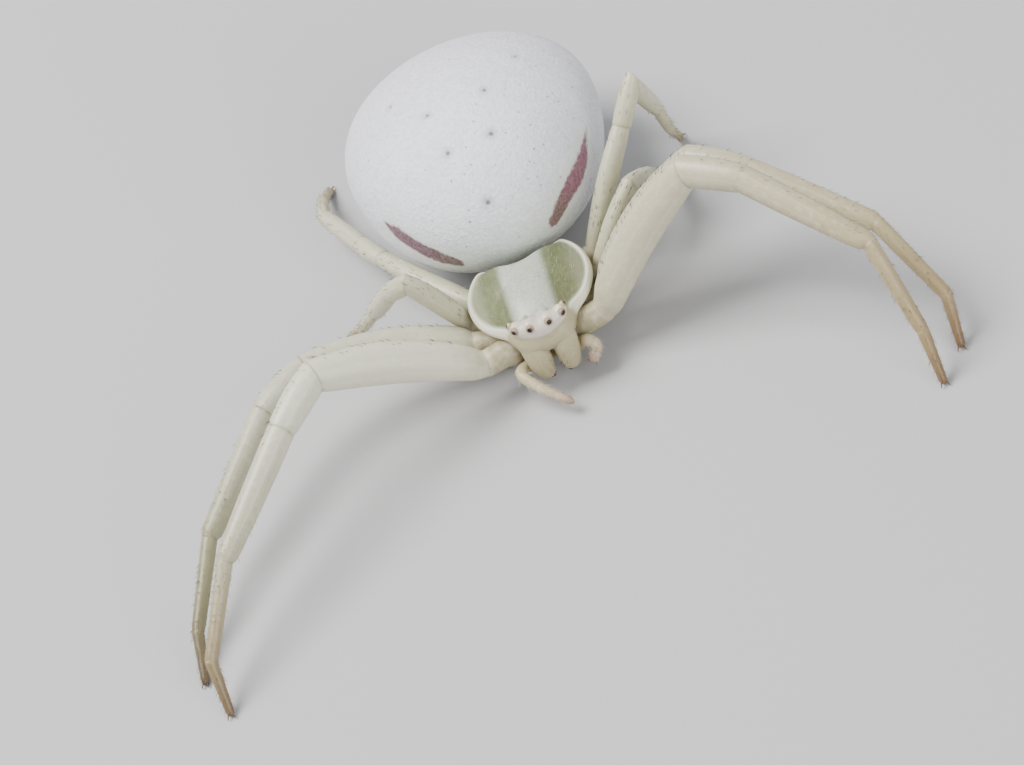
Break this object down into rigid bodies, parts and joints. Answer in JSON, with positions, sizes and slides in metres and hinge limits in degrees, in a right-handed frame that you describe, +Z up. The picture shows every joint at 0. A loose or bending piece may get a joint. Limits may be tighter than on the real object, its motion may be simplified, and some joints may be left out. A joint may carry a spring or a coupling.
{
  "type": "flower crab spider",
  "caption": "Life-size still model of a female flower crab spider crouching, with a round white belly, long spread front legs and short hind legs.",
  "frame": {"origin": "on the ground, within the flat that the belly rests on", "axes": "the spider faces -Y, its left side is +X and +Z is up; the longest side runs across it, along X"},
  "size_m": [0.0197, 0.0157, 0.0047],
  "materials": {
    "abdomen": "soft satin skin, white with a faint lilac tint and a mauve stripe low on each side",
    "shield": "satin pale green with a white middle band",
    "leg": "satin ivory with a green cast",
    "jaw": "satin cream, darker at the tips",
    "eye": "glossy dark brown"
  },
  "bodies": {
    "root": {"abdomen": "abdomen", "spinnerets": "abdomen", "carapace": "shield", "pedicel": "leg", "sternum": "leg", "mouthparts": "leg", "jaw_left": "jaw", "palp_left": "leg", "eye_front_middle_left": "eye", "eye_front_outer_left": "eye", "eye_rear_outer_left": "eye", "eye_rear_middle_left": "eye", "jaw_right": "jaw", "palp_right": "leg", "eye_front_middle_right": "eye", "eye_front_outer_right": "eye", "eye_rear_outer_right": "eye", "eye_rear_middle_right": "eye", "hip_left_1": "leg", "femur_left_1": "leg", "patella_left_1": "leg", "tibia_left_1": "leg", "metatarsus_left_1": "leg", "tarsus_left_1": "leg", "hip_left_2": "leg", "femur_left_2": "leg", "patella_left_2": "leg", "tibia_left_2": "leg", "metatarsus_left_2": "leg", "tarsus_left_2": "leg", "hip_left_3": "leg", "femur_left_3": "leg", "patella_tibia_left_3": "leg", "foot_left_3": "leg", "hip_left_4": "leg", "femur_left_4": "leg", "patella_tibia_left_4": "leg", "foot_left_4": "leg", "hip_right_1": "leg", "femur_right_1": "leg", "patella_right_1": "leg", "tibia_right_1": "leg", "metatarsus_right_1": "leg", "tarsus_right_1": "leg", "hip_right_2": "leg", "femur_right_2": "leg", "patella_right_2": "leg", "tibia_right_2": "leg", "metatarsus_right_2": "leg", "tarsus_right_2": "leg", "hip_right_3": "leg", "femur_right_3": "leg", "patella_tibia_right_3": "leg", "foot_right_3": "leg", "hip_right_4": "leg", "femur_right_4": "leg", "patella_tibia_right_4": "leg", "foot_right_4": "leg"}
  },
  "joints": []
}
